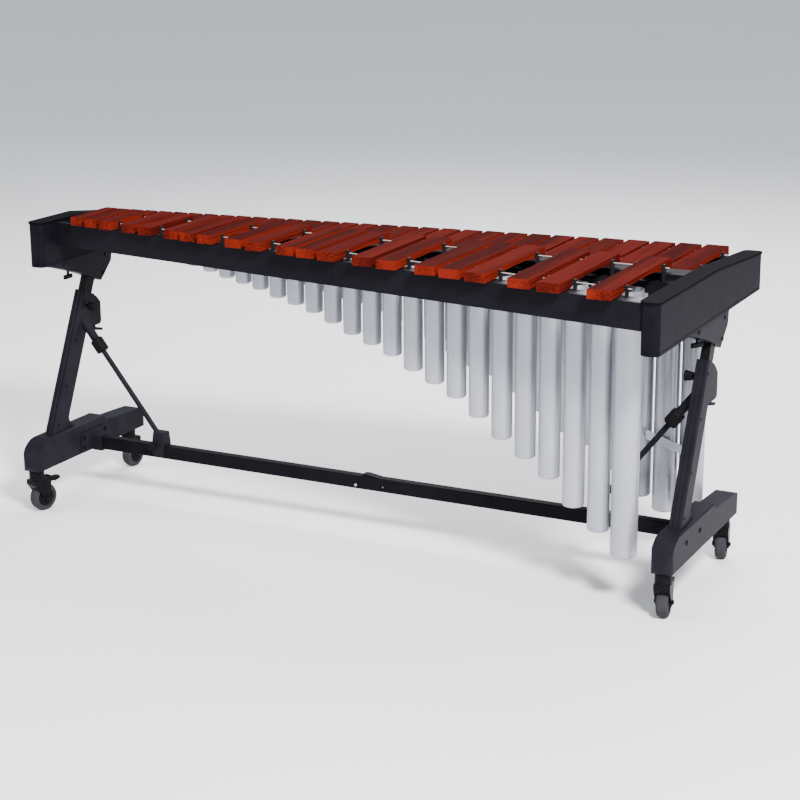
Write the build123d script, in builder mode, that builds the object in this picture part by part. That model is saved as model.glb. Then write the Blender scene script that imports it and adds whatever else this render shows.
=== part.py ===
"""Concert marimba on a height-adjustable rolling frame, in millimetres.

X runs along the instrument towards the low notes, Y from the audience to the player, and Z up.
The origin is on the floor, under the middle of the instrument.
"""
from build123d import *
import os
from math import atan2, cos, degrees, hypot, radians, sin, tan

# ---------------------------------------------------------------- driving sizes
overall_length = 2050.0          # outer face to outer face of the end blocks
low_block_depth = 860.0          # end block at the low notes, along Y
high_block_depth = 412.0         # end block at the high notes, along Y
block_thickness = 50.0
block_bottom = 745.0             # height of the end blocks' underside
block_front_height = 136.0       # block height over its level audience half
block_back_height = 106.0        # block height at the player's end
block_corner = 18.0              # radius of the blocks' upright corners
cap_thickness = 6.0
cap_lip = 3.0                    # how far a cap stands out round its block
bend_share = 0.02                # where the top bends, as a share of the block's depth
bend_drop = 2.0                  # fall of the top from its audience end to the bend
fit_gap = 0.4                    # clearance round a piece that slides or drops in
hinge_gap = 0.08                 # radial clearance of a shaft that turns

accidental_top = 900.0           # height of the raised row's top faces
natural_top = 866.0
bar_thickness = 25.0
low_pitch = 76.0                 # spacing of the two lowest natural bars
high_pitch = 47.0                # spacing of the two highest natural bars
low_end_gap = 29.0               # from the low block to the first bar's own space
low_bar_gap = 12.0               # space between two low bars
high_bar_gap = 7.0
natural_count = 31
front_line_low = 457.0           # bars' audience ends, measured at the low block's outer face
front_line_high = 146.0
accidental_inner = 12.0          # inner ends of the raised row
natural_inner = 48.0             # inner ends of the natural row
rear_line_low = 402.0
rear_line_high = 159.0
node_share = 0.224               # a free bar's still points, as a share of its length
inner_node_share = 0.165         # where the raised row is held at its inner ends
low_arch = 14.0                  # depth of the tuning arch under the lowest bar
high_arch = 3.0
cord_diameter = 3.0
cord_hole = 5.0
post_depth = 10.0
post_width = 7.0
post_top_drop = 4.0              # posts stop this far below the bars' top faces

board_height = 70.0
board_thickness = 12.0
board_drop = 2.0                 # gap between a board's top and the bars over it
rear_board_thickness = 10.0
front_overhang_low = 32.0        # bars' audience ends beyond the front board
front_overhang_high = 19.0
rear_overhang = 7.0
rail_height = 36.0
rail_margin = 14.0               # rail beyond its line of posts
beam_front = -30.0               # centre beam between the two rows
beam_gap = 5.0                   # beam to the natural bars' inner ends
beam_drop = 2.0                  # beam's top below the natural bars' tops

speed_of_sound = 345000.0        # millimetres a second
low_natural_tube = 36.0          # tube radii at the low and high blocks
high_natural_tube = 19.5
low_accidental_tube = 31.0
high_accidental_tube = 19.5
lowest_accidental_tube = 36.0    # the widest tube, under the lowest raised bar
tube_wall = 1.5
tube_foot_radius = 7.0
tube_top_gap = 18.0              # bars' undersides to the tubes' mouths
tube_floor_gap = 130.0           # lowest any tube may hang
strip_height = 26.0
strip_thickness = 3.0
natural_strip_drop = 7.0          # strips' top edges below the tubes' mouths
raised_strip_drop = 15.0

lean = 24.7                      # degrees the pillars lean towards the player
pillar_top = 625.0
pillar_top_y = 29.0
pillar_side_wall = 5.5
pillar_deep_wall = 10.0
groove_width = 5.0
groove_depth = 2.5
inner_tube_width = 25.0
inner_tube_depth = 38.0
rack_width = 10.0
rack_depth = 6.0
tube_insertion = 300.0           # inner tube's length inside the pillar
rack_pitch = 10.0

foot_width = 60.0
foot_front = 300.0
foot_back = 292.0
foot_bottom = 132.0
foot_top = 224.0
foot_rear_top = 206.0
foot_step_y = 56.0

wheel_diameter = 84.0
wheel_width = 32.0
caster_trail = 20.0
axle_diameter = 10.0
fork_wall = 4.0
front_caster_y = -262.0
rear_caster_y = 225.0

bar_height = 40.0                # crossbar section
bar_depth = 30.0
bar_wall = 2.0
bar_bottom = 136.0
bar_joint_x = -18.0              # where the crossbar's halves meet

brace_foot_x = 725.0
brace_foot_z = 208.0
brace_head_z = 536.0
brace_y = -4.0
brace_tube_diameter = 26.0
brace_rod_diameter = 16.0
collar_diameter = 40.0
collar_length = 44.0
collar_at = 85.0                 # collar's middle, along the brace from the pillar

# ---------------------------------------------------------------- derived sizes
half = overall_length / 2
inner_face = half - block_thickness
leg_x = half - block_thickness / 2                         # middle plane of each leg
pillar_width = inner_tube_width + 2 * pillar_side_wall
pillar_depth = inner_tube_depth + 2 * pillar_deep_wall
natural_bottom = natural_top - bar_thickness
accidental_bottom = accidental_top - bar_thickness
natural_cord_z = natural_top - bar_thickness / 2
accidental_cord_z = accidental_top - bar_thickness / 2
lean_sin, lean_cos, lean_tan = sin(radians(lean)), cos(radians(lean)), tan(radians(lean))


def along(low, high, x):
    """A value that runs evenly from the high block's outer face to the low block's."""
    return high + (low - high) * (x + half) / overall_length


def front_line(x):
    return -along(front_line_low, front_line_high, x)


def rear_line(x):
    return along(rear_line_low, rear_line_high, x)


def pillar_y(z):
    """Y of the pillar's axis at height z."""
    return pillar_top_y + (z - pillar_top) * lean_tan


def leg_plane(x, distance=0.0):
    """Plane across a leg's axis, a distance above the pillar's top, local Y towards the player."""
    origin = (x, pillar_top_y + distance * lean_sin, pillar_top + distance * lean_cos)
    return Plane(origin=origin, x_dir=(1, 0, 0), z_dir=(0, lean_sin, lean_cos))


os.makedirs("parts", exist_ok=True)


def save(piece, name):
    """Label a finished piece and write it."""
    piece.part.label = name
    export_step(piece.part, f"parts/{name}.step")


# ---------------------------------------------------------------- bars and their places
pitches = [low_pitch + (high_pitch - low_pitch) * i / (natural_count - 1) for i in range(natural_count)]
gaps = [low_bar_gap + (high_bar_gap - low_bar_gap) * i / (natural_count - 1) for i in range(natural_count)]
edges = [inner_face - low_end_gap]
for pitch in pitches:
    edges.append(edges[-1] - pitch)

NATURAL_STEPS = [0, 2, 3, 5, 7, 8, 10]                     # semitones above A of A B C D E F G
RAISED_AFTER = [0, 2, 3, 5, 6]                             # letters with a raised bar above them
GROUP_SHIFT = {0: -6.0, 2: 6.0, 3: -6.0, 5: 8.0, 6: 0.0}   # the raised bars spread over their gap


def pitch_hz(semitones):
    """Frequency of the note so many semitones above the lowest A."""
    return 110.0 * 2 ** (semitones / 12)


def semitone(i):
    """Semitones above the lowest A of natural bar i."""
    return 12 * (i // 7) + NATURAL_STEPS[i % 7]


naturals = []                                              # (x, width, semitones)
for i in range(natural_count):
    naturals.append(((edges[i] + edges[i + 1]) / 2, pitches[i] - gaps[i], semitone(i)))
raised = []                                                # (x, width, semitones), index of its edge
for i in range(natural_count - 2):
    if i % 7 in RAISED_AFTER:
        shift = 0.0 if i == 0 else GROUP_SHIFT[i % 7]
        raised.append((edges[i + 1] + shift, pitches[i] - gaps[i], semitone(i) + 1, i + 1))


def bar(x, width, front, back, top, cords):
    """One bar: a square-edged plank with a tuning arch below and a cord hole across each still point."""
    length = back - front
    middle = (front + back) / 2
    reach = 0.33 * length
    arch = along(low_arch, high_arch, x)
    bottom = top - bar_thickness
    with BuildPart() as plank:
        with BuildSketch(Plane.YZ.offset(x - width / 2)):
            with BuildLine():
                Polyline((middle - reach, bottom), (front, bottom), (front, top), (back, top),
                         (back, bottom), (middle + reach, bottom))
                Spline((middle + reach, bottom), (middle + 0.68 * reach, bottom + 0.75 * arch),
                       (middle, bottom + arch), (middle - 0.68 * reach, bottom + 0.75 * arch),
                       (middle - reach, bottom))
            make_face()
        extrude(amount=width)
        upper = plank.edges().filter_by(Axis.Y).group_by(Axis.Z)[-1]
        chamfer(upper, 1.2)
        for line in cords:
            with BuildSketch(line):
                Circle(cord_hole / 2)
            extrude(amount=overall_length / 2, both=True, mode=Mode.SUBTRACT)
    return plank.part


def cord_line(low, high, y_at_low, y_at_high, z):
    """Plane across the middle of a straight cord from x low to x high, and the cord's length."""
    run = Vector(low - high, y_at_low - y_at_high, 0)
    middle = ((low + high) / 2, (y_at_low + y_at_high) / 2, z)
    return Plane(origin=middle, x_dir=(0, 0, 1), z_dir=run.normalized()), run.length


def line_y(ends, share, x):
    """Y of a line of still points, where ends gives a bar's two end lines at x."""
    near, far = ends(x)
    return near + (far - near) * share


def raised_ends(x):
    return front_line(x), accidental_inner


def raised_ends_back(x):
    return accidental_inner, front_line(x)


def natural_ends(x):
    return natural_inner, rear_line(x)


def natural_ends_back(x):
    return rear_line(x), natural_inner


NODE_LINES = {
    "front": (raised_ends, node_share, accidental_cord_z),
    "raised_inner": (raised_ends_back, inner_node_share, accidental_cord_z),
    "natural_inner": (natural_ends, node_share, natural_cord_z),
    "rear": (natural_ends_back, node_share, natural_cord_z),
}


def node_y(name, x):
    ends, share, _ = NODE_LINES[name]
    return line_y(ends, share, x)


cord_tail = 8.0                                            # cord beyond the outer posts
natural_span = (edges[0] + cord_tail, edges[-1] - cord_tail)
raised_span = (raised[0][0] + raised[0][1] / 2 + gaps[0] + cord_tail,
               raised[-1][0] - raised[-1][1] / 2 - gaps[-1] - cord_tail)
cords = {}
for line_name, (ends, share, height) in NODE_LINES.items():
    low, high = natural_span if height == natural_cord_z else raised_span
    cords[line_name] = cord_line(low, high, line_y(ends, share, low), line_y(ends, share, high), height)

natural_bars = []
for x, width, _ in naturals:
    lines = [cords["natural_inner"][0], cords["rear"][0]]
    natural_bars.append(bar(x, width, natural_inner, rear_line(x), natural_top, lines))
raised_bars = []
for x, width, _, _ in raised:
    lines = [cords["front"][0], cords["raised_inner"][0]]
    raised_bars.append(bar(x, width, front_line(x), accidental_inner, accidental_top, lines))

with BuildPart() as natural_row:
    add(natural_bars)
save(natural_row, "natural_bars")
with BuildPart() as raised_row:
    add(raised_bars)
save(raised_row, "accidental_bars")

# ---------------------------------------------------------------- suspension cords and posts
with BuildPart() as bar_cords:
    for plane, length in cords.values():
        with BuildSketch(plane):
            Circle(cord_diameter / 2)
        extrude(amount=length / 2, both=True)
save(bar_cords, "bar_cords")

front_rail_top = accidental_bottom - 9.0
ledge_top = natural_top - 16.0
beam_back = natural_inner - beam_gap
beam_top = natural_top - beam_drop
natural_rail_top = natural_bottom - 5.0


def post_places():
    """(line name, x, gap between the bars there, foot height, top height) of every post."""
    places = []
    natural_edges = list(zip(edges, [gaps[0]] + gaps))
    for x, gap in natural_edges:
        for name in ("natural_inner", "rear"):
            places.append((name, x, gap, natural_rail_top, natural_top - post_top_drop))
    done = []
    for x, width, _, edge in raised:
        gap = gaps[edge - 1]
        for side in (-1, 1):
            spot = x + side * (width + gap) / 2
            if all(abs(spot - other) > 0.5 * width for other in done):
                done.append(spot)
                places.append(("front", spot, gap, front_rail_top, accidental_top - post_top_drop))
                near_beam = node_y("raised_inner", spot) + post_depth / 2 > beam_front
                foot = beam_top if near_beam else ledge_top
                places.append(("raised_inner", spot, gap, foot, accidental_top - post_top_drop))
    return places


with BuildPart() as bar_posts:
    for name, x, gap, foot, top in post_places():
        thickness = min(gap - 3.0, post_width)
        with BuildSketch(Plane.XY.offset(foot)):
            with Locations((x, node_y(name, x))):
                Rectangle(thickness, post_depth)
        extrude(amount=top - foot)
    for plane, length in cords.values():
        with BuildSketch(plane):
            Circle(cord_diameter / 2 + fit_gap)
        extrude(amount=length / 2, both=True, mode=Mode.SUBTRACT)
save(bar_posts, "bar_posts")

# ---------------------------------------------------------------- boards, rails and the centre beam


def strip_between(near, far, bottom, height, low=None, high=None):
    """Plank between two lines near(x) and far(x), from the high block to the low one."""
    low = inner_face if low is None else low
    high = -inner_face if high is None else high
    with BuildPart() as plank:
        with BuildSketch(Plane.XY.offset(bottom)):
            with BuildLine():
                Polyline((high, near(high)), (low, near(low)), (low, far(low)), (high, far(high)), close=True)
            make_face()
        extrude(amount=height)
    return plank.part


def front_board_face(x):
    return front_line(x) + along(front_overhang_low, front_overhang_high, x)


def front_board_back(x):
    return front_board_face(x) + board_thickness


def rear_board_face(x):
    return rear_line(x) - rear_overhang


def rear_board_front(x):
    return rear_board_face(x) - rear_board_thickness


front_board_top = accidental_bottom - board_drop
rear_board_top = natural_bottom - board_drop
board_joint_x = 45.0
board_seam = 0.6

with BuildPart() as front_boards:
    add(strip_between(front_board_face, front_board_back, front_board_top - board_height, board_height,
                      high=board_joint_x + board_seam))
    add(strip_between(front_board_face, front_board_back, front_board_top - board_height, board_height,
                      low=board_joint_x))
    chamfer(front_boards.edges().group_by(Axis.Z)[-1].filter_by(lambda e: e.length > board_height), 1.5)
save(front_boards, "front_boards")

with BuildPart() as rear_boards:
    add(strip_between(rear_board_front, rear_board_face, rear_board_top - board_height, board_height,
                      high=board_joint_x + board_seam))
    add(strip_between(rear_board_front, rear_board_face, rear_board_top - board_height, board_height,
                      low=board_joint_x))
save(rear_boards, "rear_boards")

with BuildPart() as front_rail:
    add(strip_between(front_board_back, lambda x: node_y("front", x) + rail_margin,
                      front_rail_top - rail_height, rail_height))
save(front_rail, "front_rail")

with BuildPart() as rear_rail:
    add(strip_between(lambda x: node_y("rear", x) - rail_margin + 3.0, rear_board_front,
                      natural_rail_top - rail_height, rail_height))
save(rear_rail, "rear_rail")

beam_bottom = natural_rail_top - rail_height
with BuildPart() as centre_rail:
    add(strip_between(lambda x: beam_front, lambda x: beam_back, beam_bottom, beam_top - beam_bottom))
    add(strip_between(lambda x: min(node_y("raised_inner", x) - 9.0, beam_front - 1.0), lambda x: beam_front,
                      beam_bottom, ledge_top - beam_bottom))
    add(strip_between(lambda x: beam_back, lambda x: node_y("natural_inner", x) + 9.0,
                      beam_bottom, natural_rail_top - beam_bottom))
save(centre_rail, "centre_rail")

# ---------------------------------------------------------------- resonators


def natural_radius(x):
    return along(low_natural_tube, high_natural_tube, x)


def raised_radius(x):
    return along(low_accidental_tube, high_accidental_tube, x)


def tube_length(frequency, radius, mouth):
    """Quarter-wave length less the end correction, kept off the floor."""
    return min(speed_of_sound / (4 * frequency) - 0.6 * radius, mouth - tube_floor_gap)


def resonator(x, y, radius, mouth, length):
    """Round tube, open at the top and closed by a rounded foot."""
    with BuildPart() as tube:
        with BuildSketch(Plane.XY.offset(mouth - length)):
            with Locations((x, y)):
                Circle(radius)
        extrude(amount=length)
        fillet(tube.edges().group_by(Axis.Z)[0], tube_foot_radius)
        with BuildSketch(Plane.XY.offset(mouth - length + 2 * tube_wall)):
            with Locations((x, y)):
                Circle(radius - tube_wall)
        extrude(amount=length, mode=Mode.SUBTRACT)
    return tube.part


def natural_tube_y(x):
    return (natural_inner + rear_line(x)) / 2


def raised_tube_y(x):
    return (front_line(x) + accidental_inner) / 2


natural_mouth = natural_bottom - 2 * tube_top_gap
raised_mouth = accidental_bottom - tube_top_gap
natural_strip_top = natural_mouth - natural_strip_drop
raised_strip_top = raised_mouth - raised_strip_drop

natural_tubes = []
for x, _, step in naturals:
    radius = natural_radius(x)
    length = tube_length(pitch_hz(step), radius, natural_mouth)
    natural_tubes.append(resonator(x, natural_tube_y(x), radius, natural_mouth, length))
raised_tubes = []
for i in range(1, natural_count - 1):
    x = edges[i]
    radius = lowest_accidental_tube if i == 1 else raised_radius(x)
    between = (semitone(i - 1) + semitone(i)) / 2
    length = tube_length(pitch_hz(between), radius, raised_mouth)
    raised_tubes.append(resonator(x, raised_tube_y(x), radius, raised_mouth, length))

with BuildPart() as natural_bank:
    add(natural_tubes)
save(natural_bank, "natural_resonators")
with BuildPart() as raised_bank:
    add(raised_tubes)
save(raised_bank, "accidental_resonators")


def side_strips(centre, radius, slope, top, low, high):
    """The two flat strips that the tubes of a bank are riveted between, tangent to the tubes."""
    stretch = hypot(1.0, slope)
    strips = []
    for side in (-1, 1):
        def inner(x, side=side):
            return centre(x) + side * (radius(x) * stretch + fit_gap)

        def outer(x, side=side):
            return centre(x) + side * (radius(x) * stretch + fit_gap + strip_thickness)
        strips.append(strip_between(inner, outer, top - strip_height, strip_height, low, high))
    return strips


natural_slope = (rear_line_low - rear_line_high) / overall_length / 2
raised_slope = (front_line_low - front_line_high) / overall_length / 2
strip_low = (edges[1] - lowest_accidental_tube + edges[2] + raised_radius(edges[2])) / 2
with BuildPart() as resonator_strips:
    add(side_strips(natural_tube_y, natural_radius, natural_slope, natural_strip_top,
                    naturals[0][0] + low_natural_tube, naturals[-1][0] - high_natural_tube))
    add(side_strips(raised_tube_y, raised_radius, raised_slope, raised_strip_top, strip_low, edges[-3]))
    for side in (-1, 1):
        offset = side * (lowest_accidental_tube + fit_gap + strip_thickness / 2)
        with BuildSketch(Plane.XY.offset(raised_strip_top - strip_height)):
            with Locations((edges[1], raised_tube_y(edges[1]) + offset)):
                Rectangle(2 * lowest_accidental_tube - 4.0, strip_thickness)
        extrude(amount=strip_height)
save(resonator_strips, "resonator_strips")

spacer_z = 372.0
spacer_drop = 40.0
spacer_height = 26.0
spacer_rod_diameter = 8.0
spacer_rod_foot = 190.0
rod_x = edges[1]
rod_y = natural_tube_y(edges[1]) - natural_radius(edges[1]) - spacer_rod_diameter
with BuildPart() as resonator_spacer:
    face_y = rod_y - spacer_rod_diameter / 2
    with BuildSketch(Plane.XZ.offset(-face_y)):
        left, right = naturals[1][0] - 42.0, naturals[0][0] + 14.0
        with BuildLine():
            Polyline((left, spacer_z), (right, spacer_z - spacer_drop),
                     (right, spacer_z - spacer_drop - spacer_height), (left, spacer_z - spacer_height),
                     close=True)
        make_face()
    extrude(amount=strip_thickness)
    with BuildSketch(Plane.XY.offset(spacer_rod_foot)):
        with Locations((rod_x, rod_y)):
            Circle(spacer_rod_diameter / 2)
    extrude(amount=natural_strip_top - strip_height - spacer_rod_foot)
save(resonator_spacer, "resonator_spacer")

# ---------------------------------------------------------------- end blocks and their caps


def block_top(depth, y):
    """Height of a block's capped top: nearly level to the bend, then sloping to the player's end."""
    bend = bend_share * depth
    front = block_bottom + block_front_height
    if y <= bend:
        return front - bend_drop * (y + depth / 2) / (bend + depth / 2)
    back = block_bottom + block_back_height
    return front - bend_drop + (back - front + bend_drop) * (y - bend) / (depth / 2 - bend)


def top_points(depth, overhang, lift):
    """The bent top line from the player's end to the audience's end, run on past both by the overhang."""
    ends = depth / 2 + overhang
    return [(y, block_top(depth, y) + lift) for y in (ends, bend_share * depth, -ends)]


def end_block(side, depth):
    """Rounded end block under its cap, with a shadow groove round its foot."""
    middle_x = side * (half - block_thickness / 2)
    with BuildPart() as block:
        with BuildSketch(Plane.XY.offset(block_bottom)):
            with Locations((middle_x, 0)):
                RectangleRounded(block_thickness, depth, block_corner)
        extrude(amount=block_front_height)
        with BuildSketch(Plane.YZ.offset(middle_x)):
            with BuildLine():
                Polyline((-depth / 2, block_bottom), (depth / 2, block_bottom),
                         *top_points(depth, 0.0, -cap_thickness), close=True)
            make_face()
        extrude(amount=block_thickness, both=True, mode=Mode.INTERSECT)
        with BuildSketch(Plane.XY.offset(block_bottom + 7.0)):
            with Locations((middle_x, 0)):
                RectangleRounded(block_thickness + 4.0, depth + 4.0, block_corner + 2.0)
                RectangleRounded(block_thickness - 2.4, depth - 2.4, block_corner - 1.2, mode=Mode.SUBTRACT)
        extrude(amount=2.0, mode=Mode.SUBTRACT)
    return block


def end_cap(side, depth):
    """Lipped cap that follows the block's bent top."""
    middle_x = side * (half - block_thickness / 2)
    over = top_points(depth, cap_lip, 0.0)
    under = top_points(depth, cap_lip, -cap_thickness)
    with BuildPart() as cap:
        with BuildSketch(Plane.XY.offset(block_bottom)):
            with Locations((middle_x, 0)):
                RectangleRounded(block_thickness + 2 * cap_lip, depth + 2 * cap_lip, block_corner + cap_lip)
        extrude(amount=block_front_height + cap_thickness)
        with BuildSketch(Plane.YZ.offset(middle_x)):
            with BuildLine():
                Polyline(*over, *reversed(under), close=True)
            make_face()
        extrude(amount=block_thickness, both=True, mode=Mode.INTERSECT)
        long_edges = cap.edges().filter_by(GeomType.LINE).filter_by(lambda e: e.length > 0.3 * depth)
        fillet(long_edges.filter_by(lambda e: e.center().Z > block_top(depth, e.center().Y) - 1.0), 1.5)
    return cap


save(end_block(1, low_block_depth), "low_end_block")
save(end_block(-1, high_block_depth), "high_end_block")
save(end_cap(1, low_block_depth), "low_top_cap")
save(end_cap(-1, high_block_depth), "high_top_cap")

# ---------------------------------------------------------------- gussets, inner tubes and racks
gusset_width = 38.0
gusset_bottom = 650.0
gusset_front = pillar_y(gusset_bottom + 30.0) - inner_tube_depth / 2 / lean_cos - 12.0
gusset_back = pillar_y(gusset_bottom) + inner_tube_depth / 2 / lean_cos + 30.0
knob_y = -52.0


def gusset(side):
    """Bracket that carries an end block on its leg's inner tube."""
    x = side * leg_x
    with BuildPart() as bracket:
        with BuildSketch(Plane.YZ.offset(x)):
            with BuildLine():
                Polyline((gusset_front, gusset_bottom + 30.0), (gusset_back, gusset_bottom), (149.0, 704.0),
                         (156.0, block_bottom), (-182.0, block_bottom))
                ThreePointArc((-182.0, block_bottom), (-80.0, 715.0), (gusset_front, gusset_bottom + 30.0))
            make_face()
        extrude(amount=gusset_width / 2, both=True)
        fillet(bracket.edges().filter_by(Axis.X).group_by(Axis.Z)[0], 6.0)
        with BuildSketch(leg_plane(x, -60.0)):
            Rectangle(inner_tube_width, inner_tube_depth)
            with Locations((0, inner_tube_depth / 2 + rack_depth / 2)):
                Rectangle(rack_width, rack_depth)
        extrude(amount=60.0 + 105.0, mode=Mode.SUBTRACT)
        with Locations((x, knob_y, 720.0)):
            Cylinder(4.0 + hinge_gap, 40.0, mode=Mode.SUBTRACT)
    return bracket


save(gusset(1), "low_gusset")
save(gusset(-1), "high_gusset")


def inner_tube(side):
    """Square tube that slides in the pillar and lifts the top frame."""
    with BuildPart() as tube:
        with BuildSketch(leg_plane(side * leg_x, -tube_insertion)):
            Rectangle(inner_tube_width, inner_tube_depth)
            Rectangle(inner_tube_width - 4.0, inner_tube_depth - 4.0, mode=Mode.SUBTRACT)
        extrude(amount=tube_insertion + 104.0)
    return tube


save(inner_tube(1), "low_inner_tube")
save(inner_tube(-1), "high_inner_tube")

with BuildPart() as height_racks:
    for side in (1, -1):
        length = tube_insertion - 40.0 + 104.0
        with BuildSketch(leg_plane(side * leg_x, 40.0 - tube_insertion)):
            with Locations((0, inner_tube_depth / 2 + rack_depth / 2)):
                Rectangle(rack_width, rack_depth)
        extrude(amount=length)
        teeth = int((tube_insertion - 60.0) / rack_pitch)
        for i in range(teeth):
            with BuildSketch(leg_plane(side * leg_x, 50.0 - tube_insertion + i * rack_pitch)):
                with Locations((0, inner_tube_depth / 2 + rack_depth)):
                    Rectangle(rack_width + 1.0, 4.0)
            extrude(amount=rack_pitch / 2, mode=Mode.SUBTRACT)
save(height_racks, "height_racks")

# ---------------------------------------------------------------- pillars and feet
bore_length = tube_insertion + 60.0
pillar_reach = (pillar_top - foot_top) / lean_cos + pillar_depth


def pillar(side):
    """Leaning grooved pillar with a bore for the inner tube and a web down to the foot."""
    x = side * leg_x
    with BuildPart() as post:
        with BuildSketch(leg_plane(x, -pillar_reach)):
            Rectangle(pillar_width, pillar_depth)
        extrude(amount=pillar_reach)
        fillet(post.edges().filter_by(lambda e: abs(e.length - pillar_reach) < 0.01), 4.0)
        with BuildSketch(leg_plane(x, -pillar_reach)):
            with Locations((-6.5, -pillar_depth / 2), (6.5, -pillar_depth / 2)):
                Rectangle(groove_width, 2 * groove_depth)
        extrude(amount=pillar_reach, mode=Mode.SUBTRACT)
        with BuildSketch(Plane.YZ.offset(x)):
            back = pillar_y(300.0) + pillar_depth / 2 / lean_cos - 1.0
            base = pillar_y(foot_top) + pillar_depth / 2 / lean_cos
            with BuildLine():
                ThreePointArc((back, 300.0), (base + 20.0, foot_top + 26.0), (base + 46.0, foot_top))
                Polyline((base + 46.0, foot_top), (base + 46.0, foot_top - 40.0),
                         (base - 20.0, foot_top - 40.0), (back - 16.0, 300.0), (back, 300.0))
            make_face()
        extrude(amount=pillar_width / 2 - 3.0, both=True)
        split(bisect_by=Plane.XY.offset(foot_top), keep=Keep.TOP)
        with BuildSketch(leg_plane(x, -bore_length)):
            Rectangle(inner_tube_width + 2 * fit_gap, inner_tube_depth + 2 * fit_gap)
            with Locations((0, inner_tube_depth / 2 + rack_depth / 2)):
                Rectangle(rack_width + 2 * fit_gap, rack_depth + 2 * fit_gap)
        extrude(amount=bore_length, mode=Mode.SUBTRACT)
        with BuildSketch(Plane.YZ.offset(x)):
            with Locations((pillar_y(leg_knob_z), leg_knob_z)):
                Circle(leg_knob_stem + hinge_gap)
        extrude(amount=-side * pillar_width, mode=Mode.SUBTRACT)
    return post


def foot(side):
    """Foot beam with a rounded nose and a stepped top."""
    x = side * leg_x
    with BuildPart() as beam:
        with BuildSketch(Plane.YZ.offset(x)):
            with BuildLine():
                Line((-foot_front + 12.0, foot_bottom), (foot_back - 6.0, foot_bottom))
                Polyline((foot_back - 6.0, foot_bottom), (foot_back, foot_bottom + 18.0),
                         (foot_back - 10.0, foot_rear_top - 26.0))
                ThreePointArc(
                    (foot_back - 10.0, foot_rear_top - 26.0),
                    (foot_back - 22.0, foot_rear_top - 16.0),
                    (foot_back - 42.0, foot_rear_top - 10.0),
                )
                Polyline((foot_back - 42.0, foot_rear_top - 10.0), (foot_step_y + 10.0, foot_rear_top),
                         (foot_step_y, foot_top), (-foot_front + 78.0, foot_top))
                ThreePointArc((-foot_front + 78.0, foot_top), (-foot_front + 22.0, foot_top - 30.0),
                              (-foot_front, foot_bottom + 14.0))
                Line((-foot_front, foot_bottom + 14.0), (-foot_front + 12.0, foot_bottom))
            make_face()
        extrude(amount=foot_width / 2, both=True)
        with BuildSketch(Plane.XY.offset(foot_bottom - 5.0)):
            with Locations((x, (foot_back - foot_front) / 2)):
                RectangleRounded(foot_width, foot_front + foot_back, foot_width / 2 - 2.0)
        extrude(amount=foot_top, mode=Mode.INTERSECT)
        long_edges = beam.edges().filter_by(lambda e: e.length > 100.0).group_by(Axis.Z)
        fillet(long_edges[-1], 6.0)
        for y in (front_caster_y, rear_caster_y):
            with Locations((x, y, foot_bottom)):
                Cylinder(stem_radius + hinge_gap, 2 * stem_height, mode=Mode.SUBTRACT)
    return beam


stem_radius = 6.0
stem_height = 24.0
leg_knob_z = 586.0
leg_knob_stem = 5.0
save(pillar(1), "low_pillar")
save(pillar(-1), "high_pillar")
save(foot(1), "low_foot")
save(foot(-1), "high_foot")

# ---------------------------------------------------------------- lever housings, levers and leg knobs
housing_width = 32.0
lever_z = 506.0
lever_y = 62.0
lever_thickness = 12.0
lever_pin_z = lever_z + 14.0
lever_pin_radius = 2.5
lever_pin_length = lever_thickness + 12.0


def back_face(z):
    """Y of the pillar's player-side face at height z."""
    return pillar_y(z) + pillar_depth / 2 / lean_cos


def lever_housing(side):
    """Ratchet housing behind the pillar's head."""
    with BuildPart() as housing:
        with BuildSketch(Plane.YZ.offset(side * leg_x)):
            with BuildLine():
                Polyline((back_face(612.0), 612.0), (back_face(612.0) + 12.0, 604.0), (86.0, 584.0),
                         (86.0, 520.0), (76.0, 514.0), (back_face(514.0), 514.0), close=True)
            make_face()
        extrude(amount=housing_width / 2, both=True)
        fillet(housing.edges().filter_by(Axis.X).group_by(Axis.Y)[-1], 6.0)
        with Locations(Location((side * leg_x, lever_y, lever_z + 8.0))):
            Box(lever_thickness + 2.0, 16.0, 30.0, mode=Mode.SUBTRACT)
        with BuildSketch(Plane.YZ.offset(side * leg_x)):
            with Locations((lever_y, lever_pin_z)):
                Circle(lever_pin_radius + fit_gap)
        extrude(amount=lever_pin_length / 2 + fit_gap, both=True, mode=Mode.SUBTRACT)
    return housing


def height_lever(side):
    """Release lever, turning on its own pin in the housing's foot."""
    x = side * leg_x
    with BuildPart() as lever:
        with BuildSketch(Plane.YZ.offset(x)):
            with BuildLine():
                Polyline((lever_y - 4.0, lever_pin_z + 5.0), (lever_y + 4.0, lever_pin_z + 5.0),
                         (lever_y + 6.0, lever_z - 2.0), (lever_y + 44.0, lever_z - 12.0),
                         (lever_y + 43.0, lever_z - 20.0), (lever_y - 2.0, lever_z - 10.0), close=True)
            make_face()
        extrude(amount=lever_thickness / 2, both=True)
        fillet(lever.edges().filter_by(Axis.X).group_by(Axis.Y)[-1], 2.0)
        with BuildSketch(Plane.YZ.offset(x)):
            with Locations((lever_y, lever_pin_z)):
                Circle(lever_pin_radius)
        extrude(amount=lever_pin_length / 2, both=True)
    return lever


def knob(location, radius, length, stem_radius_, stem_length, lobes=0):
    """Turned knob on a stem: the stem starts at the location and runs along its Z."""
    with BuildPart() as turned:
        with BuildSketch(Plane(location)):
            Circle(stem_radius_)
        extrude(amount=stem_length + 2.0)
        with BuildSketch(Plane(location).offset(stem_length)):
            Circle(radius * 0.72)
        with BuildSketch(Plane(location).offset(stem_length + length)):
            Circle(radius)
        loft()
        if lobes:
            with BuildSketch(Plane(location).offset(stem_length)):
                with PolarLocations(radius * 1.06, lobes):
                    Circle(radius * 0.22)
            extrude(amount=length, mode=Mode.SUBTRACT)
    return turned


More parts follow.
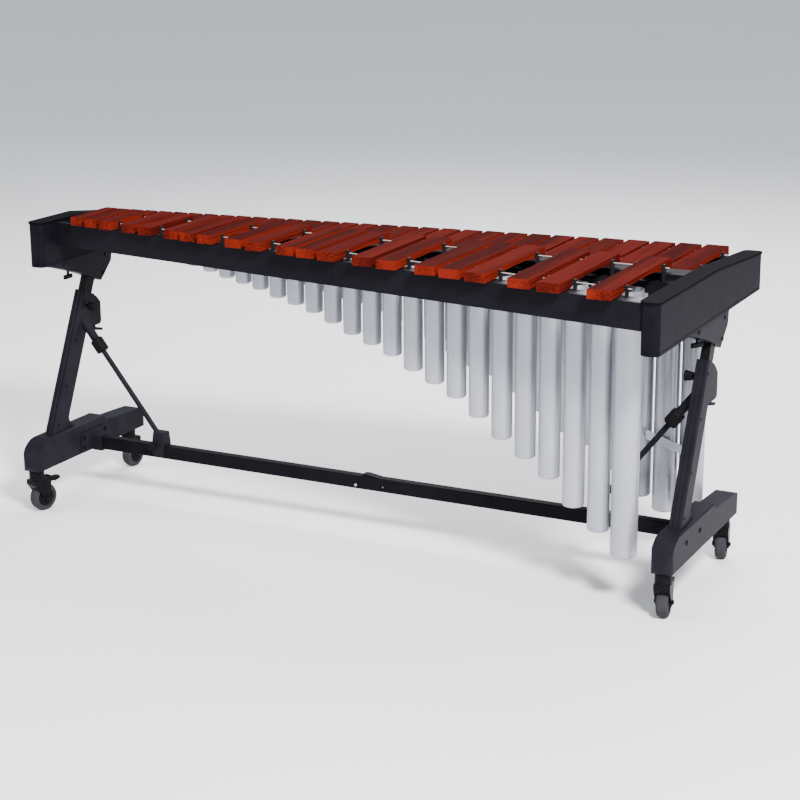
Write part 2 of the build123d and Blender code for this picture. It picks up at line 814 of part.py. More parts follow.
save(lever_housing(1), "low_lever_housing")
save(lever_housing(-1), "high_lever_housing")
save(height_lever(1), "low_height_lever")
save(height_lever(-1), "high_height_lever")

for side, name in ((1, "low"), (-1, "high")):
    face = side * (leg_x - inner_tube_width / 2 - 2 * fit_gap)
    stem = 10.0 + (pillar_width - inner_tube_width) / 2 - 2 * fit_gap
    seat = (face, pillar_y(leg_knob_z), leg_knob_z)
    place = Location(Plane(origin=seat, x_dir=(0, 1, 0), z_dir=(-side, 0, 0)))
    save(knob(place, 15.0, 22.0, leg_knob_stem, stem, lobes=6), f"{name}_leg_knob")

# ---------------------------------------------------------------- wing knobs under the end blocks
wing_head_z = 682.0
for side, name in ((1, "low"), (-1, "high")):
    with BuildPart() as wing:
        with BuildSketch(Plane.XY.offset(wing_head_z)):
            with Locations((side * leg_x, knob_y)):
                SlotOverall(40.0, 11.0, rotation=60.0 if side > 0 else 90.0)
        extrude(amount=12.0)
        fillet(wing.edges().group_by(Axis.Z)[0], 2.5)
        with BuildSketch(Plane.XY.offset(wing_head_z + 12.0)):
            with Locations((side * leg_x, knob_y)):
                Circle(4.0)
        extrude(amount=26.0)
    save(wing, f"{name}_block_knob")

# ---------------------------------------------------------------- crossbar
bar_middle_z = bar_bottom + bar_height / 2
foot_inner = leg_x - foot_width / 2
bracket_plate = 5.0
socket_length = 34.0
bar_end = foot_inner - bracket_plate


def crossbar(low, high):
    """One half of the rectangular crossbar tube."""
    with BuildPart() as tube:
        with BuildSketch(Plane.YZ.offset(high)):
            with Locations((0, bar_middle_z)):
                RectangleRounded(bar_depth, bar_height, 3.0)
                Rectangle(bar_depth - 2 * bar_wall, bar_height - 2 * bar_wall, mode=Mode.SUBTRACT)
        extrude(amount=low - high)
    return tube


button_x = bar_joint_x - 16.0
button_z = bar_bottom + 11.0
button_radius = 4.0
low_half = crossbar(bar_end, bar_joint_x + 0.4)
high_half = crossbar(bar_joint_x, -bar_end)
with BuildPart() as high_half_drilled:
    add(high_half.part)
    with Locations(Location((button_x, -bar_depth / 2, button_z), (90, 0, 0))):
        Cylinder(button_radius + hinge_gap, 12.0, mode=Mode.SUBTRACT)
with BuildPart() as low_half_drilled:
    add(low_half.part)
    with Locations(Location((bar_joint_x + 72.0, -bar_depth / 2, button_z + 4.0), (90, 0, 0))):
        Cylinder(2.4, 12.0, mode=Mode.SUBTRACT)
save(low_half_drilled, "low_crossbar")
save(high_half_drilled, "high_crossbar")

sleeve_reach = 110.0
with BuildPart() as crossbar_sleeve:
    with BuildSketch(Plane.YZ.offset(bar_joint_x - 60.0)):
        with Locations((0, bar_middle_z)):
            Rectangle(bar_depth - 2 * bar_wall - 2 * fit_gap, bar_height - 2 * bar_wall - 2 * fit_gap)
            Rectangle(bar_depth - 4 * bar_wall - 2 * fit_gap, bar_height - 4 * bar_wall - 2 * fit_gap,
                      mode=Mode.SUBTRACT)
    extrude(amount=60.0 + sleeve_reach)
    with Locations(Location((button_x, -bar_depth / 2, button_z), (90, 0, 0))):
        Cylinder(button_radius + hinge_gap, 24.0, mode=Mode.SUBTRACT)
save(crossbar_sleeve, "crossbar_sleeve")

with BuildPart() as crossbar_latch:
    with BuildSketch(Plane.XZ):
        start = bar_joint_x + 4.0
        top = bar_bottom + bar_height
        with BuildLine():
            Polyline((start, top), (start + 1.0, top + 6.0), (start + 14.0, top + 7.0),
                     (start + 54.0, top + 0.6), (start + 54.0, top), close=True)
        make_face()
    extrude(amount=bar_depth / 2 - 3.0, both=True)
save(crossbar_latch, "crossbar_latch")

with BuildPart() as crossbar_button:
    button_face = (button_x, -bar_depth / 2 - 2.0, button_z)
    with BuildSketch(Plane(origin=button_face, x_dir=(1, 0, 0), z_dir=(0, 1, 0))):
        Circle(button_radius)
    extrude(amount=7.0)
    fillet(crossbar_button.edges().group_by(Axis.Y)[0], 1.2)
save(crossbar_button, "crossbar_button")

bracket_low, bracket_high = 134.0, 196.0
bolt_places = [(-62.0, 150.0), (-62.0, 182.0), (52.0, 150.0), (52.0, 182.0)]
with BuildPart() as crossbar_brackets:
    for side in (1, -1):
        with BuildSketch(Plane.YZ.offset(side * foot_inner)):
            with Locations((-5.0, (bracket_low + bracket_high) / 2)):
                RectangleRounded(140.0, bracket_high - bracket_low, 10.0)
        extrude(amount=-side * bracket_plate)
        with BuildSketch(Plane.YZ.offset(side * bar_end)):
            with Locations((0, bar_middle_z)):
                RectangleRounded(bar_depth + 10.0, bar_height + 10.0, 5.0)
                RectangleRounded(bar_depth + 2 * fit_gap, bar_height + 2 * fit_gap, 3.0, mode=Mode.SUBTRACT)
        extrude(amount=-side * socket_length)
save(crossbar_brackets, "crossbar_brackets")

with BuildPart() as bracket_bolts:
    for side in (1, -1):
        with BuildSketch(Plane.YZ.offset(side * bar_end)):
            with Locations(*bolt_places):
                RegularPolygon(6.5, 6)
        extrude(amount=-side * 5.0)
save(bracket_bolts, "bracket_bolts")

# ---------------------------------------------------------------- braces
head_x = leg_x - pillar_width / 2
brace_run = Vector(brace_foot_x - head_x, 0, brace_foot_z - brace_head_z)
brace_length = brace_run.length
thick_end = collar_at - collar_length / 2


def brace_plane(side, distance):
    """Plane across a brace, a distance down it from the pillar."""
    step = brace_run.normalized()
    direction = Vector(side * step.X, 0, step.Z)
    origin = Vector(side * head_x, brace_y, brace_head_z) + direction * distance
    return Plane(origin=origin, x_dir=(0, 1, 0), z_dir=direction)


collars = []
for side, name in ((1, "low"), (-1, "high")):
    with BuildPart() as brace_tube:
        with BuildSketch(brace_plane(side, -20.0)):
            Circle(brace_tube_diameter / 2)
        extrude(amount=20.0 + thick_end - fit_gap)
        with BuildSketch(brace_plane(side, thick_end - fit_gap)):
            Circle(brace_tube_diameter / 2 - 2.5)
        extrude(amount=collar_length * 0.6)
        split(bisect_by=Plane.YZ.offset(side * (head_x - 0.05)), keep=Keep.BOTTOM if side > 0 else Keep.TOP)
        with BuildSketch(brace_plane(side, 26.0)):
            Circle(brace_rod_diameter / 2 + fit_gap)
        extrude(amount=brace_length, mode=Mode.SUBTRACT)
    save(brace_tube, f"{name}_brace_tube")
    with BuildPart() as collar:
        with BuildSketch(brace_plane(side, thick_end)):
            Circle(collar_diameter / 2)
        extrude(amount=collar_length)
        chamfer(collar.edges().filter_by(GeomType.CIRCLE), 3.0)
        with BuildSketch(brace_plane(side, thick_end - 1.0)):
            Circle(brace_tube_diameter / 2 - 2.5 + fit_gap)
        extrude(amount=1.0 + collar_length * 0.62, mode=Mode.SUBTRACT)
        with BuildSketch(brace_plane(side, thick_end - 1.0)):
            Circle(brace_rod_diameter / 2 + fit_gap)
        extrude(amount=2.0 + collar_length, mode=Mode.SUBTRACT)
        with BuildSketch(brace_plane(side, thick_end + 6.0)):
            with PolarLocations(collar_diameter / 2 + 1.0, 10):
                Circle(2.4)
        extrude(amount=collar_length - 12.0, mode=Mode.SUBTRACT)
    collars.append(collar.part)
with BuildPart() as brace_collars:
    add(collars)
save(brace_collars, "brace_collars")

bar_top = bar_bottom + bar_height
with BuildPart() as brace_rods:
    for side in (1, -1):
        with BuildSketch(brace_plane(side, 30.0)):
            Circle(brace_rod_diameter / 2)
        extrude(amount=brace_length - 30.0)
save(brace_rods, "brace_rods")

clamp_length = 40.0
clamp_wall = 6.0
clamp_top = 218.0
clamp_knob_x = brace_foot_x + 2.0
clamp_knob_z = bar_bottom + bar_height / 2 + 22.0
clamp_knob_stem = 5.0
with BuildPart() as brace_clamps:
    for side in (1, -1):
        middle = side * (brace_foot_x - 6.0)
        with BuildSketch(Plane.YZ.offset(middle - clamp_length / 2)):
            with BuildLine():
                clamp_side = bar_depth / 2 + clamp_wall
                Polyline((-clamp_side, bar_bottom + 4.0), (-clamp_side, bar_top + 10.0), (-14.0, clamp_top),
                         (14.0, clamp_top), (clamp_side, bar_top + 10.0), (clamp_side, bar_bottom + 4.0),
                         close=True)
            make_face()
        extrude(amount=clamp_length)
    for side in (1, -1):
        middle = side * (brace_foot_x - 6.0)
        with Locations((middle, 0, bar_middle_z)):
            Box(clamp_length + 10.0, bar_depth + 2 * fit_gap, bar_height + 2 * fit_gap, mode=Mode.SUBTRACT)
        with BuildSketch(brace_plane(side, brace_length - 60.0)):
            Circle(brace_rod_diameter / 2)
        extrude(amount=60.0, mode=Mode.SUBTRACT)
        with BuildSketch(Plane.XZ.offset(bar_depth / 2 - 1.0)):
            with Locations((side * clamp_knob_x, clamp_knob_z)):
                Circle(clamp_knob_stem + hinge_gap)
        extrude(amount=clamp_wall + 4.0, mode=Mode.SUBTRACT)
save(brace_clamps, "brace_clamps")

for side, name in ((1, "low"), (-1, "high")):
    origin = (side * clamp_knob_x, -bar_depth / 2 - 2 * fit_gap, clamp_knob_z)
    place = Location(Plane(origin=origin, x_dir=(1, 0, 0), z_dir=(0, -1, 0)))
    save(knob(place, 16.0, 16.0, clamp_knob_stem, clamp_wall + 8.0, lobes=6), f"{name}_brace_knob")

# ---------------------------------------------------------------- casters
wheel_radius = wheel_diameter / 2
fork_outer = wheel_width / 2 + 2.0 + fork_wall
fork_top = wheel_diameter + 17.0
head_radius = 23.0
brake_pivot = (caster_trail + 30.0, wheel_diameter + 12.0)
ear_radius = 5.5
brake_pin = 2.5
pedal_width = 18.0
CASTERS = {                       # leg side, swivel axis Y, rest angle of the trail from +Y
    "low_front": (1, front_caster_y, -9.0),
    "low_rear": (1, rear_caster_y, -12.0),
    "high_front": (-1, front_caster_y, 16.0),
    "high_rear": (-1, rear_caster_y, 4.0),
}


def caster_plane(side, y, angle):
    """Upright plane along a caster's trail: local X is the trail, local Y is up."""
    trail = (sin(radians(angle)), cos(radians(angle)), 0)
    return Plane(origin=(side * leg_x, y, 0), x_dir=trail, z_dir=Vector(trail).cross(Vector(0, 0, 1)))


def fork(side, y, angle, braked):
    """Swivel fork: stem, round head, two tapered arms, a riveted axle, and ears for a brake."""
    upright = caster_plane(side, y, angle)
    with BuildPart() as body:
        with BuildSketch(upright):
            with BuildLine():
                Polyline((-head_radius + 1.0, fork_top), (caster_trail + 14.0, fork_top),
                         (caster_trail + 17.0, fork_top - 6.0), (caster_trail + 11.5, wheel_radius),
                         (caster_trail - 11.5, wheel_radius), (-head_radius, fork_top - 14.0), close=True)
            make_face()
            with Locations((caster_trail, wheel_radius)):
                Circle(12.0)
        extrude(amount=fork_outer, both=True)
        with BuildSketch(upright):
            with Locations((caster_trail, wheel_radius)):
                Circle(wheel_radius + 4.0)
            with Locations((caster_trail, 0)):
                Rectangle(2 * wheel_radius + 8.0, 2 * wheel_radius)
        extrude(amount=wheel_width / 2 + 2.0, both=True, mode=Mode.SUBTRACT)
        with BuildSketch(Plane.XY.offset(fork_top - 2.0)):
            with Locations((side * leg_x, y)):
                Circle(head_radius)
        extrude(amount=foot_bottom - 1.0 - fork_top + 2.0)
        fillet(body.faces().sort_by(Axis.Z)[-1].edges(), 3.0)
        with BuildSketch(Plane.XY.offset(foot_bottom - 2.0)):
            with Locations((side * leg_x, y)):
                Circle(stem_radius)
        extrude(amount=stem_height)
        with BuildSketch(upright):
            with Locations((caster_trail, wheel_radius)):
                Circle(axle_diameter / 2)
        extrude(amount=fork_outer + 2.0, both=True)
        if braked:
            px, pz = brake_pivot
            with BuildSketch(upright):
                with Locations(brake_pivot):
                    Circle(ear_radius)
                with BuildLine():
                    Polyline((caster_trail + 8.0, fork_top - 11.0), (caster_trail + 8.0, fork_top),
                             (px, pz + ear_radius), (px, pz - ear_radius), close=True)
                make_face()
            extrude(amount=fork_outer - 1.0, both=True)
            with BuildSketch(upright):
                with Locations((px + 3.0, pz)):
                    Rectangle(2 * ear_radius + 22.0, 4 * ear_radius)
            extrude(amount=pedal_width / 2 + fit_gap, both=True, mode=Mode.SUBTRACT)
            with BuildSketch(upright):
                with Locations(brake_pivot):
                    Circle(brake_pin + hinge_gap)
            extrude(amount=fork_outer, both=True, mode=Mode.SUBTRACT)
    return body


def wheel(side, y, angle):
    """Solid wheel with a rounded tread and a dished hub."""
    upright = caster_plane(side, y, angle)
    with BuildPart() as tyre:
        with BuildSketch(upright):
            with Locations((caster_trail, wheel_radius)):
                Circle(wheel_radius)
        extrude(amount=wheel_width / 2, both=True)
        fillet(tyre.edges().filter_by(GeomType.CIRCLE), 9.0)
        for face in (1, -1):
            with BuildSketch(upright.offset(face * wheel_width / 2)):
                with Locations((caster_trail, wheel_radius)):
                    Circle(wheel_radius - 13.0)
                    Circle(11.0, mode=Mode.SUBTRACT)
            extrude(amount=-face * 4.0, mode=Mode.SUBTRACT)
        with BuildSketch(upright):
            with Locations((caster_trail, wheel_radius)):
                Circle(axle_diameter / 2 + hinge_gap)
        extrude(amount=wheel_width, both=True, mode=Mode.SUBTRACT)
    return tyre


def brake(side, y, angle):
    """Brake pedal behind the hood, on its own pin between the fork's ears."""
    upright = caster_plane(side, y, angle)
    px, pz = brake_pivot
    with BuildPart() as pedal:
        with BuildSketch(upright):
            with BuildLine():
                Polyline((px - 4.0, pz + 3.0), (px - 3.0, pz - 4.0), (px + 10.0, pz - 13.0),
                         (px + 30.0, pz - 8.0), (px + 29.0, pz), (px + 9.0, pz + 1.0), (px + 2.0, pz + 5.0),
                         close=True)
            make_face()
        extrude(amount=pedal_width / 2, both=True)
        with BuildSketch(upright):
            with Locations(brake_pivot):
                Circle(brake_pin)
        extrude(amount=fork_outer - 2.0, both=True)
    return pedal


for name, (side, y, angle) in CASTERS.items():
    save(fork(side, y, angle, y == front_caster_y), f"{name}_fork")
    save(wheel(side, y, angle), f"{name}_wheel")
    if y == front_caster_y:
        save(brake(side, y, angle), f"{name}_brake")
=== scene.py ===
"""Concert marimba on a rolling frame, dressed for a studio picture.

Every piece is in metres: X runs towards the low notes, Y towards the player, and Z up.
"""

import logging
import math
from dataclasses import dataclass
from enum import Enum
from typing import Iterable, Optional, Union

import bmesh
import bpy
from mathutils import Matrix, Vector


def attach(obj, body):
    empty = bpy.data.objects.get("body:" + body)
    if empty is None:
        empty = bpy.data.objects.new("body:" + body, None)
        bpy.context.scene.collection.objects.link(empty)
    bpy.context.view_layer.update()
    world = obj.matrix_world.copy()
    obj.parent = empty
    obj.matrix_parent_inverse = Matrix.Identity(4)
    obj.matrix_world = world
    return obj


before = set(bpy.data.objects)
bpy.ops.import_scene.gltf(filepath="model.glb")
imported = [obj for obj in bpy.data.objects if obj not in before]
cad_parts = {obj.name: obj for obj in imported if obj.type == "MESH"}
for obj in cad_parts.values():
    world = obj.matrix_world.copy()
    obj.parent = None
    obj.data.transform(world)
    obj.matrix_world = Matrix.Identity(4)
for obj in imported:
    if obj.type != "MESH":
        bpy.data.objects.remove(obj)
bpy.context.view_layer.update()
log = logging.getLogger("marimba")

MERGE_WITHIN = 1e-6

Colour = tuple[float, float, float]
Point = tuple[float, float, float]
Input = Union["Signal", float, Colour]


class Signal:
    """A shader socket that takes part in Python arithmetic."""

    def __init__(self, net: "Net", socket: bpy.types.NodeSocket) -> None:
        """Wrap an output socket of a node in a net."""
        self.net = net
        self.socket = socket

    def _math(self, operation: str, first: Input, second: Input) -> "Signal":
        """Add a Math node on two values."""
        node = self.net.node("ShaderNodeMath", {"operation": operation}, {0: first, 1: second})
        return Signal(self.net, node.outputs[0])

    def __add__(self, other: Input) -> "Signal":
        """Add."""
        return self._math("ADD", self, other)

    def __radd__(self, other: Input) -> "Signal":
        """Add, from the right."""
        return self._math("ADD", other, self)

    def __sub__(self, other: Input) -> "Signal":
        """Subtract."""
        return self._math("SUBTRACT", self, other)

    def __rsub__(self, other: Input) -> "Signal":
        """Subtract from a number."""
        return self._math("SUBTRACT", other, self)

    def __mul__(self, other: Input) -> "Signal":
        """Multiply."""
        return self._math("MULTIPLY", self, other)

    def __rmul__(self, other: Input) -> "Signal":
        """Multiply, from the right."""
        return self._math("MULTIPLY", other, self)

    def ramp(self, low: float, high: float) -> "Signal":
        """Turn the value into a smooth step.

        Args:
            low: Value at which the step starts from 0.
            high: Value at which it reaches 1.

        Returns:
            The step, from 0 to 1.
        """
        inputs = {"Value": self, "From Min": low, "From Max": high}
        node = self.net.node("ShaderNodeMapRange", {"interpolation_type": "SMOOTHSTEP"}, inputs)
        return Signal(self.net, node.outputs[0])


class Net:
    """The node tree of one material."""

    def __init__(self, name: str) -> None:
        """Start a material with only its shader and output."""
        self.material = bpy.data.materials.new(name)
        self.material.use_nodes = True
        self.tree = self.material.node_tree
        self.shader = self.tree.nodes["Principled BSDF"]
        self.coords = self.node("ShaderNodeTexCoord", {}, {})

    def node(self, kind: str, settings: dict, inputs: dict) -> bpy.types.Node:
        """Add a node of any type.

        Args:
            kind: Blender's name of the node type.
            settings: Properties that are set before the inputs.
            inputs: Values or signals by socket name or number.

        Returns:
            The new node.
        """
        new = self.tree.nodes.new(kind)
        for name, value in settings.items():
            setattr(new, name, value)
        for name, value in inputs.items():
            self.feed(new.inputs[name], value)
        return new

    def feed(self, socket: bpy.types.NodeSocket, value: Input) -> None:
        """Link a signal to a socket, or set the socket's own value.

        Args:
            socket: The input socket.
            value: A signal, a number, a point or a colour.
        """
        if isinstance(value, Signal):
            self.tree.links.new(value.socket, socket)
        elif isinstance(value, tuple) and socket.type == "RGBA":
            socket.default_value = (*value, 1.0)
        else:
            socket.default_value = value

    def stretched(self, scale: Point) -> Signal:
        """Scale the object coordinates.

        Args:
            scale: Factor along each axis.

        Returns:
            The scaled coordinates.
        """
        place = Signal(self, self.coords.outputs["Object"])
        mapping = self.node("ShaderNodeMapping", {}, {"Vector": place, "Scale": scale})
        return Signal(self, mapping.outputs[0])

    def noise(self, scale: Point, detail: float = 3.0, roughness: float = 0.55) -> Signal:
        """Add fractal noise in the object coordinates.

        Args:
            scale: Features a metre along each axis.
            detail: Octaves of finer noise.
            roughness: Weight of each finer octave.

        Returns:
            The noise, from 0 to 1.
        """
        inputs = {"Vector": self.stretched(scale), "Scale": 1.0, "Detail": detail, "Roughness": roughness}
        node = self.node("ShaderNodeTexNoise", {}, inputs)
        return Signal(self, node.outputs["Fac"])

    def blend(self, factor: Input, first: Input, second: Input) -> Signal:
        """Mix two colours."""
        node = self.node("ShaderNodeMix", {"data_type": "RGBA"}, {0: factor, 6: first, 7: second})
        return Signal(self, node.outputs[2])

    def axis(self, source: str, index: int) -> Signal:
        """Pick one axis of a texture coordinate.

        Args:
            source: Output of the texture coordinate node.
            index: 0, 1 or 2 for X, Y or Z.

        Returns:
            The value along that axis.
        """
        value = Signal(self, self.coords.outputs[source])
        node = self.node("ShaderNodeSeparateXYZ", {}, {0: value})
        return Signal(self, node.outputs[index])

    def bump(self, height: Input, distance: float, strength: float = 1.0) -> None:
        """Raise the surface by a height signal.

        Args:
            height: The signal, from 0 to 1.
            distance: Height of a signal of 1, in metres.
            strength: Share of the effect that is kept.
        """
        inputs = {"Height": height, "Distance": distance, "Strength": strength}
        node = self.node("ShaderNodeBump", {}, inputs)
        self.set("Normal", Signal(self, node.outputs[0]))

    def set(self, name: str, value: Input) -> None:
        """Set or link an input of the shader."""
        self.feed(self.shader.inputs[name], value)


@dataclass(frozen=True)
class Finish:
    """A surface with mottled colour, uneven gloss and a fine grain.

    Attributes:
        name: The material's name.
        colour: Main colour, linear.
        second: Colour of the mottling.
        roughness: Middle roughness.
        metallic: 1 for bare metal.
        grain: Features a metre along each axis.
        relief: Depth of the grain, in metres.
        mottle: Features a metre of the slow colour change.
        coat: Weight of a clear coat.
        gloss: Strength of the plain reflection, where 0.5 is usual.
        index: Refractive index, low for a surface that stays deep in flat light.
    """

    name: str
    colour: Colour
    second: Colour
    roughness: float = 0.5
    metallic: float = 0.0
    grain: Point = (900.0, 900.0, 900.0)
    relief: float = 0.00002
    mottle: Point = (18.0, 18.0, 18.0)
    coat: float = 0.0
    gloss: float = 0.5
    index: float = 1.10

    def paint(self, net: Net) -> None:
        """Build the shader's inputs."""
        slow = net.noise(self.mottle, 4.0)
        fine = net.noise(self.grain, 2.0)
        net.set("Base Color", net.blend(slow.ramp(0.3, 0.7), self.colour, self.second))
        net.set("Roughness", self.roughness + (slow - 0.5) * 0.14 + (fine - 0.5) * 0.1)
        net.set("Metallic", self.metallic)
        net.set("Specular IOR Level", self.gloss)
        net.set("IOR", self.index)
        net.bump(fine, self.relief)
        if self.coat:
            net.set("Coat Weight", self.coat)
            net.set("Coat Roughness", 0.12)

    def material(self) -> bpy.types.Material:
        """Return the material, made the first time."""
        found = bpy.data.materials.get(self.name)
        if found:
            return found
        net = Net(self.name)
        self.paint(net)
        return net.material


@dataclass(frozen=True)
class BarWood(Finish):
    """Polished red hardwood with long grain along Y, its tops painted darker than its sides as painted
    shade.

    Attributes:
        top: Main colour of the tops, darkened as painted shade.
        shaded_top_streak: Colour of the tops' streaks, darkened as painted shade.
    """

    # Painted shade: darker copies of the wood colours, used on the tops.
    top: Colour = (0.030, 0.0034, 0.0028)
    shaded_top_streak: Colour = (0.082, 0.0075, 0.0048)

    def paint(self, net: Net) -> None:
        """Build the shader's inputs."""
        plank = net.noise((17.0, 0.6, 0.6), 0.0)
        streak = net.noise((190.0, 3.2, 190.0), 5.0, 0.62)
        pore = net.noise((1400.0, 38.0, 1400.0), 2.0)
        # Painted shade: faces that point up take the darker top colours.
        shaded_top_mask = net.axis("Normal", 2).ramp(0.45, 0.8)
        tone = (streak * 0.75 + plank * 0.45 - 0.10).ramp(0.36, 0.66)
        side = net.blend(tone, self.colour, self.second)
        face = net.blend(tone, self.top, self.shaded_top_streak)
        wood = net.blend(shaded_top_mask, side, face)
        net.set("Base Color", net.blend(pore.ramp(0.62, 0.78) * 0.45, wood, (0.02, 0.004, 0.003)))
        net.set("Roughness", 0.36 + (streak - 0.5) * 0.18 + (1.0 - shaded_top_mask) * 0.14)
        net.set("Specular IOR Level", self.gloss)
        net.set("IOR", self.index)
        net.bump(streak * 0.6 + pore * 0.4, 0.00003, 0.6)


@dataclass(frozen=True)
class DrawnTube(Finish):
    """Satin aluminium tube with faint draw lines up and down it."""

    def paint(self, net: Net) -> None:
        """Build the shader's inputs."""
        lines = net.noise((700.0, 700.0, 2.5), 3.0)
        cloud = net.noise((9.0, 9.0, 4.0), 4.0)
        net.set("Base Color", net.blend(cloud.ramp(0.3, 0.7), self.colour, self.second))
        net.set("Metallic", self.metallic)
        net.set("Roughness", self.roughness + (lines - 0.5) * 0.16 + (cloud - 0.5) * 0.1)
        net.bump(lines, self.relief, 0.5)


@dataclass(frozen=True)
class Tread(Finish):
    """Grey rubber, scuffed all over."""

    def paint(self, net: Net) -> None:
        """Build the shader's inputs."""
        scuff = net.noise((240.0, 240.0, 240.0), 4.0)
        cloud = net.noise((40.0, 40.0, 40.0), 3.0)
        wear = (scuff * 0.6 + cloud * 0.4).ramp(0.35, 0.7)
        net.set("Base Color", net.blend(wear, self.colour, self.second))
        net.set("Roughness", self.roughness + (scuff - 0.5) * 0.25)
        net.set("Specular IOR Level", self.gloss)
        net.set("IOR", self.index)
        net.bump(scuff, self.relief)


BAR_WOOD = BarWood("polished_bar_wood", (0.150, 0.0125, 0.0062), (0.044, 0.0044, 0.0032),
                   gloss=0.4, index=1.02)
TUBE = DrawnTube("resonator_aluminium", (0.34, 0.345, 0.395), (0.39, 0.395, 0.445), 0.38, 0.45,
                 relief=0.00001)
BOARD = Finish("board_lacquer", (0.0058, 0.0054, 0.0080), (0.0078, 0.0072, 0.0102), 0.42,
               grain=(500.0, 500.0, 500.0), relief=0.000015, mottle=(6.0, 6.0, 20.0))
RAIL = Finish("rail_silver_paint", (0.10, 0.10, 0.115), (0.07, 0.07, 0.08), 0.40, 0.8, relief=0.00002)
BEAM = Finish("beam_dark_paint", (0.006, 0.0055, 0.0075), (0.009, 0.0085, 0.0105), 0.5)
BLOCK = Finish("block_moulded_texture", (0.0044, 0.0040, 0.0066), (0.0062, 0.0056, 0.0088), 0.50,
               grain=(420.0, 420.0, 420.0), relief=0.00009)
CAP = Finish("cap_smooth_black", (0.0030, 0.0029, 0.0038), (0.0042, 0.0041, 0.0052), 0.42, relief=0.00001,
             index=1.03)
FRAME = Finish("frame_powder_coat", (0.0094, 0.0088, 0.0128), (0.0124, 0.0116, 0.0164), 0.44,
               grain=(800.0, 800.0, 800.0), relief=0.00004)
CROSSBAR = Finish("crossbar_powder_coat", (0.0040, 0.0038, 0.0056), (0.0056, 0.0052, 0.0074), 0.42,
                  grain=(800.0, 800.0, 800.0), relief=0.00003)
BLACK = Finish("black_enamel", (0.0045, 0.0045, 0.0053), (0.0070, 0.0070, 0.0082), 0.35, relief=0.00001)
KNOB = Finish("knob_black_nylon", (0.0050, 0.0050, 0.0056), (0.0080, 0.0080, 0.0088), 0.48, relief=0.00002)
STEEL = Finish("zinc_plated_steel", (0.60, 0.61, 0.64), (0.50, 0.51, 0.54), 0.3, 1.0,
               grain=(60.0, 1500.0, 1500.0), relief=0.00003)
POST = Finish("post_dark_nylon", (0.011, 0.011, 0.013), (0.016, 0.016, 0.019), 0.42)
CORD = Finish("braided_cord", (0.42, 0.40, 0.35), (0.30, 0.28, 0.25), 0.85, grain=(900.0, 300.0, 900.0),
              relief=0.0001)
RUBBER = Tread("wheel_rubber", (0.026, 0.026, 0.030), (0.040, 0.040, 0.045), 0.62, relief=0.00006)

NODE_FINISH: dict[str, Finish] = {
    "natural_bars": BAR_WOOD, "accidental_bars": BAR_WOOD, "bar_cords": CORD, "bar_posts": POST,
    "front_boards": BOARD, "rear_boards": BOARD, "front_rail": RAIL, "rear_rail": BEAM, "centre_rail": BEAM,
    "natural_resonators": TUBE, "accidental_resonators": TUBE, "resonator_strips": TUBE,
    "resonator_spacer": TUBE, "height_racks": STEEL, "bracket_bolts": BLACK, "crossbar_button": STEEL,
    "crossbar_sleeve": STEEL, "brace_collars": KNOB, "crossbar_latch": CROSSBAR,
}
SUFFIX_FINISH: dict[str, Finish] = {
    "_end_block": BLOCK, "_top_cap": CAP, "_crossbar": CROSSBAR, "_knob": KNOB, "_lever": KNOB,
    "_wheel": RUBBER, "_fork": BLACK, "_brake": BLACK, "_inner_tube": BLACK,
}
CASTERS: dict[str, tuple[tuple[float, float], float]] = {
    "low_front": ((1.0, -0.262), -9.0), "low_rear": ((1.0, 0.225), -12.0),
    "high_front": ((-1.0, -0.262), 16.0), "high_rear": ((-1.0, 0.225), 4.0),
}


class End(Enum):
    """The two ends of the instrument."""

    LOW = 1
    HIGH = -1

    @property
    def word(self) -> str:
        """The end's name, as nodes carry it."""
        return self.name.lower()


def mesh_piece(name: str, form: bmesh.types.BMesh, finish: Finish, body: str,
               smooth: float = 35.0) -> bpy.types.Object:
    """Turn a bmesh into a finished piece that rides on a body.

    Args:
        name: The piece's name.
        form: Its shape, in place; it is freed here.
        finish: Its surface.
        body: The CAD body that carries it.
        smooth: Edges sharper than this many degrees stay sharp.

    Returns:
        The new object.
    """
    bmesh.ops.remove_doubles(form, verts=form.verts, dist=MERGE_WITHIN)
    bmesh.ops.recalc_face_normals(form, faces=form.faces)
    for face in form.faces:
        face.smooth = True
    for edge in form.edges:
        edge.smooth = len(edge.link_faces) == 2 and edge.calc_face_angle(0.0) < math.radians(smooth)
    mesh = bpy.data.meshes.new(name)
    form.to_mesh(mesh)
    form.free()
    piece = bpy.data.objects.new(name, mesh)
    bpy.context.scene.collection.objects.link(piece)
    mesh.materials.append(finish.material())
    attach(piece, body)
    log.info("%s: %d faces", name, len(mesh.polygons))
    return piece


def toward(direction: Point, origin: Point) -> Matrix:
    """Matrix that carries +Z to a direction and the origin to a point."""
    turn = Vector(direction).to_track_quat("Z", "Y").to_matrix().to_4x4()
    return Matrix.Translation(origin) @ turn


def turned(form: bmesh.types.BMesh, profile: Iterable[tuple[float, float]], place: Matrix,
           steps: int = 24) -> None:
    """Spin a profile about Z, and put it in place in a form.

    Args:
        form: The form that gets the shape.
        profile: Points as radius and height.
        place: Matrix that carries the shape from the origin to its place.
        steps: Faces round the shape.
    """
    made = [form.verts.new((radius, 0.0, height)) for radius, height in profile]
    edges = [form.edges.new(pair) for pair in zip(made, made[1:])]
    spun = bmesh.ops.spin(form, geom=made + edges, cent=(0, 0, 0), axis=(0, 0, 1), dvec=(0, 0, 0),
                          angle=math.tau, steps=steps, use_merge=True)
    last = [part for part in spun["geom_last"] if isinstance(part, bmesh.types.BMVert)]
    linked: set[bmesh.types.BMVert] = set()
    stack = [vert for vert in made + last if vert.is_valid]
    while stack:
        vert = stack.pop()
        if vert in linked:
            continue
        linked.add(vert)
        stack.extend(edge.other_vert(vert) for edge in vert.link_edges)
    bmesh.ops.transform(form, matrix=place, verts=list(linked))


